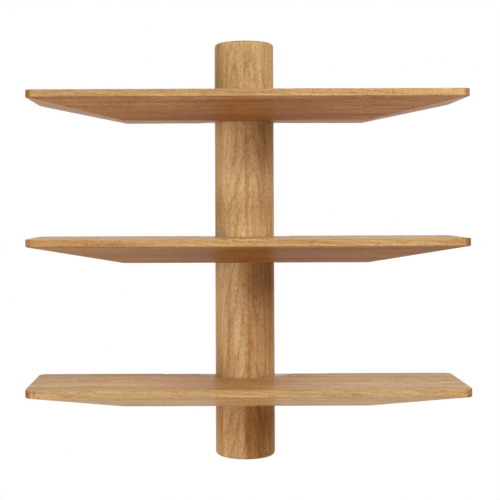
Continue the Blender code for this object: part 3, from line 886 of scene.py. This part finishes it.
# Countersunk wood screws fix the plates: four into each board and two into the post. They are
# cold-headed steel with a cross recess, a rolled thread and a sharp tip, zinc plated.
SCREW_SIZES = {
    "Head Radius": SCREW_HEAD[0],
    "Head Depth": SCREW_HEAD[1],
    "Rim": 0.0003,
    "Core Radius": 0.0014,
    "Crest Radius": SCREW_RADIUS,
    "Thread Pitch": 0.0018,
    "Tip Length": 0.005,
    "Tip Radius": 0.0002,
    "Drive Across": 0.0046,
    "Drive Depth": 0.0016,
}
SCREW_THREADED = 0.7
POST_SCREW_SEED = 10
BODY_SIDES = 28
THREAD_STEPS = 20
BORE_SIDES = 32
CROSS_WING = 0.22
CROSS_TAPER = 0.3
ZINC_TONES = ("AEB1B3", "CFD1D2")
ZINC_CLOUD = (0.002, 0.002, 0.002)
ZINC_ROUGHNESS = (0.26, 0.42)
ZINC_RELIEF = 0.3
METAL_RELIEF_DEPTH = 0.0001


def fastener_tree(name, drive):
    """Geometry Nodes that turn a threaded fastener, cut its drive, and set one at each point
    of a mesh with its head to the wall, each turned on its axis by chance."""
    tree = bpy.data.node_groups.new(name, "GeometryNodeTree")
    tree.interface.new_socket(name="Places", in_out="INPUT", socket_type="NodeSocketGeometry")
    for size_name in (*SCREW_SIZES, "Length", "Thread Length"):
        tree.interface.new_socket(name=size_name, in_out="INPUT", socket_type="NodeSocketFloat")
    tree.interface.new_socket(name="Seed", in_out="INPUT", socket_type="NodeSocketInt")
    tree.interface.new_socket(name="Finish", in_out="INPUT", socket_type="NodeSocketMaterial")
    tree.interface.new_socket(name="Fasteners", in_out="OUTPUT", socket_type="NodeSocketGeometry")
    given = tree.nodes.new("NodeGroupInput").outputs
    index = add_node(tree, "GeometryNodeInputIndex")

    def along_profile(values):
        """One value for each point of the profile, in order from the head."""
        made = add_node(tree, "GeometryNodeIndexSwitch", {"Index": index}, data_type="FLOAT")
        for _ in values[2:]:
            made.index_switch_items.new()
        for number, value in enumerate(values, start=1):
            if isinstance(value, bpy.types.NodeSocket):
                tree.links.new(value, made.inputs[number])
            else:
                made.inputs[number].default_value = value
        return made.outputs[0]

    # The turned body, head up: a line with a radius at each point, swept by a circle
    tip_start = add_node(tree, "ShaderNodeMath", {
        0: given["Length"],
        1: given["Tip Length"],
    }, operation="SUBTRACT").outputs[0]
    depths = [0.0, given["Rim"], given["Head Depth"], tip_start, given["Length"]]
    head, core = given["Head Radius"], given["Core Radius"]
    radii = [head, head, core, core, given["Tip Radius"]]
    line = add_node(tree, "GeometryNodeMeshLine", {"Count": len(depths)})
    level = add_node(tree, "ShaderNodeMath", {0: along_profile(depths), 1: -1.0}, operation="MULTIPLY")
    below = add_node(tree, "ShaderNodeCombineXYZ", {2: level})
    placed = add_node(tree, "GeometryNodeSetPosition", {"Geometry": line, "Position": below})
    axis = add_node(tree, "GeometryNodeMeshToCurve", {"Mesh": placed})
    ring = add_node(tree, "GeometryNodeCurvePrimitiveCircle", {"Resolution": BODY_SIDES, "Radius": 1.0})
    body = add_node(tree, "GeometryNodeCurveToMesh", {
        "Curve": axis,
        "Profile Curve": ring,
        "Scale": along_profile(radii),
        "Fill Caps": True,
    })

    # What is cut from it: a tapered cross, a hexagon or a bore from end to end. A cutter stands
    # as far out of the head as it goes in
    across, deep = given["Drive Across"], given["Drive Depth"]
    if drive == "cross":
        narrow = add_node(tree, "ShaderNodeMath", {0: across, 1: CROSS_TAPER}, operation="MULTIPLY")
        wing = add_node(tree, "GeometryNodeMeshCone", {
            "Vertices": 4,
            "Radius Top": across,
            "Radius Bottom": narrow,
            "Depth": add_node(tree, "ShaderNodeMath", {0: deep, 1: 2.0}, operation="MULTIPLY"),
        })
        lowered = add_node(tree, "ShaderNodeMath", {0: deep, 1: -1.0}, operation="MULTIPLY")
        sunk = add_node(tree, "ShaderNodeCombineXYZ", {2: lowered})
        cutters = [add_node(tree, "GeometryNodeTransform", {
            "Geometry": wing,
            "Translation": sunk,
            "Scale": scale,
        }) for scale in ((1.0, CROSS_WING, 1.0), (CROSS_WING, 1.0, 1.0))]
    else:
        sides, share, reach = (6, 1 / math.sqrt(3), 2.0) if drive == "hexagon" else (BORE_SIDES, 0.5, 8.0)
        cutters = [add_node(tree, "GeometryNodeMeshCylinder", {
            "Vertices": sides,
            "Radius": add_node(tree, "ShaderNodeMath", {0: across, 1: share}, operation="MULTIPLY"),
            "Depth": add_node(tree, "ShaderNodeMath", {0: deep, 1: reach}, operation="MULTIPLY"),
        })]
    cut = add_node(tree, "GeometryNodeMeshBoolean", {"Mesh 1": body}, operation="DIFFERENCE", solver="EXACT")
    for cutter in cutters:
        tree.links.new(cutter.outputs[0], cut.inputs["Mesh 2"])

    # The thread: a ridge wound round the core, from the tip's start up
    winding = add_node(tree, "GeometryNodeCurveSpiral", {
        "Resolution": THREAD_STEPS,
        "Rotations": add_node(tree, "ShaderNodeMath", {
            0: given["Thread Length"],
            1: given["Thread Pitch"],
        }, operation="DIVIDE"),
        "Start Radius": core,
        "End Radius": core,
        "Height": given["Thread Length"],
    })
    tip_level = add_node(tree, "ShaderNodeMath", {0: tip_start, 1: -1.0}, operation="MULTIPLY")
    down = add_node(tree, "ShaderNodeCombineXYZ", {2: tip_level})
    wound = add_node(tree, "GeometryNodeTransform", {"Geometry": winding, "Translation": down})
    upright = add_node(tree, "GeometryNodeSetCurveNormal", {"Curve": wound}, mode="Z_UP")
    ridge = add_node(tree, "ShaderNodeMath", {0: given["Crest Radius"], 1: core}, operation="SUBTRACT")
    tooth = add_node(tree, "GeometryNodeCurvePrimitiveCircle", {"Resolution": 4, "Radius": ridge})
    thread = add_node(tree, "GeometryNodeCurveToMesh", {
        "Curve": upright,
        "Profile Curve": tooth,
        "Fill Caps": True,
    })

    # One at each place
    whole = add_node(tree, "GeometryNodeJoinGeometry", {"Geometry": cut})
    tree.links.new(thread.outputs[0], whole.inputs["Geometry"])
    chance = add_node(tree, "FunctionNodeRandomValue", {
        "ID": index,
        "Seed": given["Seed"],
        3: math.tau,
    }, data_type="FLOAT")
    turn = add_node(tree, "ShaderNodeCombineXYZ", {0: -math.pi / 2, 1: chance.outputs[1]})
    points = add_node(tree, "GeometryNodeMeshToPoints", {"Mesh": given["Places"]})
    copies = add_node(tree, "GeometryNodeInstanceOnPoints", {
        "Points": points,
        "Instance": whole,
        "Rotation": turn,
    })
    real = add_node(tree, "GeometryNodeRealizeInstances", {"Geometry": copies})
    coated = add_node(tree, "GeometryNodeSetMaterial", {"Geometry": real, "Material": given["Finish"]})
    tree.links.new(coated.outputs[0], tree.nodes.new("NodeGroupOutput").inputs[0])
    return tree


def fasten(name, seed, tree, nodes, sizes, threaded, finish):
    """One piece of like fasteners, one at each of their CAD nodes, made by the tree. threaded
    is how much of the shank between head and tip is threaded."""
    mesh = bpy.data.meshes.new(name)
    mesh.from_pydata([driven_at(node) for node in nodes], [], [])
    piece = add_object(name, mesh)
    low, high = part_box(nodes[0])
    length = high.y - low.y
    shank = length - sizes["Tip Length"] - sizes["Head Depth"]
    values = {**sizes, "Length": length, "Thread Length": shank * threaded, "Seed": seed, "Finish": finish}
    made = piece.modifiers.new("fasteners", "NODES")
    made.node_group = tree
    for item in tree.interface.items_tree:
        if item.in_out == "INPUT" and item.name in values:
            made[item.identifier] = values[item.name]
    settle(piece)
    solid = bmesh.new()
    solid.from_mesh(piece.data)
    bmesh.ops.recalc_face_normals(solid, faces=solid.faces)
    solid.to_mesh(piece.data)
    solid.free()
    piece.data.shade_smooth()
    piece.data.set_sharp_from_angle(angle=SMOOTH_ANGLE)
    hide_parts(*nodes)
    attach(piece, "root")


def metal(name, tones, marks, rough, relief):
    """A bare or plated metal. marks is how far its cloud or its drawn lines run along X, Y and
    Z, in metres, and tones are its darker and paler patches."""
    material, tree, shader = new_material(name)
    shader.inputs["Metallic"].default_value = 1.0
    stretched = add_node(tree, "ShaderNodeMapping", {
        "Vector": add_node(tree, "ShaderNodeTexCoord").outputs["Object"],
        "Scale": tuple(1.0 / length for length in marks),
    })
    grain = add_node(tree, "ShaderNodeTexNoise", {"Vector": stretched, "Scale": 1.0, "Detail": 3.0})
    tone = add_node(tree, "ShaderNodeMix", {
        0: grain,
        6: linear(tones[0]),
        7: linear(tones[1]),
    }, data_type="RGBA")
    tree.links.new(tone.outputs[2], shader.inputs["Base Color"])
    spread = add_node(tree, "ShaderNodeMapRange", {"Value": grain, "To Min": rough[0], "To Max": rough[1]})
    tree.links.new(spread.outputs["Result"], shader.inputs["Roughness"])
    bump = add_node(tree, "ShaderNodeBump", {
        "Height": grain,
        "Strength": relief,
        "Distance": METAL_RELIEF_DEPTH,
    })
    tree.links.new(bump.outputs["Normal"], shader.inputs["Normal"])
    return material


# Zinc plating is bright but slightly milky, with a cloud of a few millimetres in it
zinc = metal("bright_zinc_plating", ZINC_TONES, ZINC_CLOUD, ZINC_ROUGHNESS, ZINC_RELIEF)
wood_screw = fastener_tree("wood_screw", "cross")
for seed, board_name in enumerate(("top", "middle", "bottom")):
    screws = [f"{board_name}_shelf_screw_{number}" for number in (1, 2, 3, 4)]
    fasten(
        board_name + "_board_screws", seed, wood_screw, screws,
        SCREW_SIZES, SCREW_THREADED, zinc,
    )
    screws = [f"{board_name}_post_screw_{number}" for number in (1, 2)]
    fasten(
        board_name + "_post_screws", seed + POST_SCREW_SEED, wood_screw, screws,
        SCREW_SIZES, SCREW_THREADED, zinc,
    )


# Two machine screws for each board pass through the plate and the post on the centre line and
# draw the front of the board's notch onto the post. They are steel, countersunk, with a
# hexagon socket and a fine rolled thread on their last third, zinc plated.
BOLT_SIZES = {
    "Head Radius": BOLT_HEAD[0],
    "Head Depth": BOLT_HEAD[1],
    "Rim": 0.0004,
    "Core Radius": 0.00245,
    "Crest Radius": BOLT_RADIUS,
    "Thread Pitch": 0.001,
    "Tip Length": 0.001,
    "Tip Radius": 0.0019,
    "Drive Across": 0.004,
    "Drive Depth": 0.0024,
}
BOLT_THREADED = 0.34
machine_screw = fastener_tree("machine_screw", "hexagon")
for seed, board_name in enumerate(("top", "middle", "bottom")):
    bolts = [f"{board_name}_shelf_bolt_{number}" for number in (1, 2)]
    fasten(
        board_name + "_bolts", seed, machine_screw, bolts,
        BOLT_SIZES, BOLT_THREADED, zinc,
    )


# The machine screws run into threaded sleeves of turned brass, screwed into the wall of the
# board's notch. A coarse thread outside bites the oak.
INSERT_SIZES = {
    "Head Radius": 0.0036,
    "Head Depth": 0.0008,
    "Rim": 0.0001,
    "Core Radius": 0.0044,
    "Crest Radius": 0.005,
    "Thread Pitch": 0.0025,
    "Tip Length": 0.0018,
    "Tip Radius": 0.0036,
    "Drive Across": 0.0062,
    "Drive Depth": 0.009,
}
INSERT_THREADED = 0.9
BRASS_TONES = ("B98F4A", "D8B36C")
BRASS_LINES = (0.003, 0.0004, 0.003)
BRASS_ROUGHNESS = (0.24, 0.36)
BRASS_RELIEF = 0.4

# Turned brass: a warm yellow with faint lines round it from the tool
brass = metal("turned_brass", BRASS_TONES, BRASS_LINES, BRASS_ROUGHNESS, BRASS_RELIEF)
sleeve_insert = fastener_tree("sleeve_insert", "bore")
for seed, board_name in enumerate(("top", "middle", "bottom")):
    inserts = [f"{board_name}_bolt_insert_{number}" for number in (1, 2)]
    fasten(
        board_name + "_bolt_inserts", seed, sleeve_insert, inserts,
        INSERT_SIZES, INSERT_THREADED, brass,
    )


# Two pairs of hooked cleats hang the shelf, one pair near each end of the post. They are
# sawn from an aluminium extrusion: one half goes on the wall with its lip up, the other is
# screwed in a recess in the post's back with its lip down, and two screws hold it.
CLEAT_THICKNESS = 0.0024
CLEAT_BASE = 0.024
CLEAT_ARRIS = 0.0003
CLEAT_SCREW_SEED = 20
ALUMINIUM_TONES = ("C3C5C8", "DCDDDF")
ALUMINIUM_LINES = (0.08, 0.0007, 0.0007)
ALUMINIUM_ROUGHNESS = (0.3, 0.46)
ALUMINIUM_RELIEF = 0.5


def cleat(node, wall_side):
    """One half of a pair of cleats in its node's box, from the extrusion's section."""
    low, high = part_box(node)
    thick, depth, tall = CLEAT_THICKNESS, high.y - low.y, high.z - low.z
    section = [
        (0.0, 0.0), (thick, 0.0), (thick, CLEAT_BASE - thick), (depth, CLEAT_BASE - thick),
        (depth, tall), (depth - thick, tall), (depth - thick, CLEAT_BASE), (0.0, CLEAT_BASE),
    ]
    solid = prism(section, low.x, high.x)
    ease(solid, CLEAT_ARRIS)
    # The section's first axis points off what the cleat is fixed to, its second to the lip
    if wall_side:
        standing = Matrix(((0, 0, 1, 0), (-1, 0, 0, high.y), (0, 1, 0, low.z), (0, 0, 0, 1)))
    else:
        standing = Matrix(((0, 0, 1, 0), (1, 0, 0, low.y), (0, -1, 0, high.z), (0, 0, 0, 1)))
    bmesh.ops.transform(solid, matrix=standing, verts=solid.verts)
    return finished(solid, node + "_extrusion")


# Extruded aluminium as it leaves the die: silver grey, with fine straight lines along its length
aluminium = metal(
    "extruded_aluminium", ALUMINIUM_TONES, ALUMINIUM_LINES, ALUMINIUM_ROUGHNESS, ALUMINIUM_RELIEF,
)
for seed, end_name in enumerate(("upper", "lower")):
    screws = [f"{end_name}_cleat_screw_{number}" for number in (1, 2)]
    sink = countersink(SCREW_RADIUS, SCREW_HEAD, CLEAT_THICKNESS + CUT_OVERRUN)
    post_half = cleat(end_name + "_post_cleat", False)
    carve(post_half, [bored(driven_at(screw), sink) for screw in screws])
    wall_half = cleat(end_name + "_wall_cleat", True)
    low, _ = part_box(end_name + "_wall_cleat")
    level = low.z + (CLEAT_BASE - CLEAT_THICKNESS) / 2
    outer = [(driven_at(screw)[0], -CLEAT_THICKNESS, level) for screw in screws]
    carve(wall_half, [bored(place, sink, towards=1) for place in outer])
    for half, node in ((post_half, "_post_cleat"), (wall_half, "_wall_cleat")):
        half.data.materials.append(aluminium)
        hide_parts(end_name + node)
        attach(half, "root")
    fasten(
        end_name + "_cleat_screws", seed + CLEAT_SCREW_SEED, wood_screw, screws,
        SCREW_SIZES, SCREW_THREADED, zinc,
    )
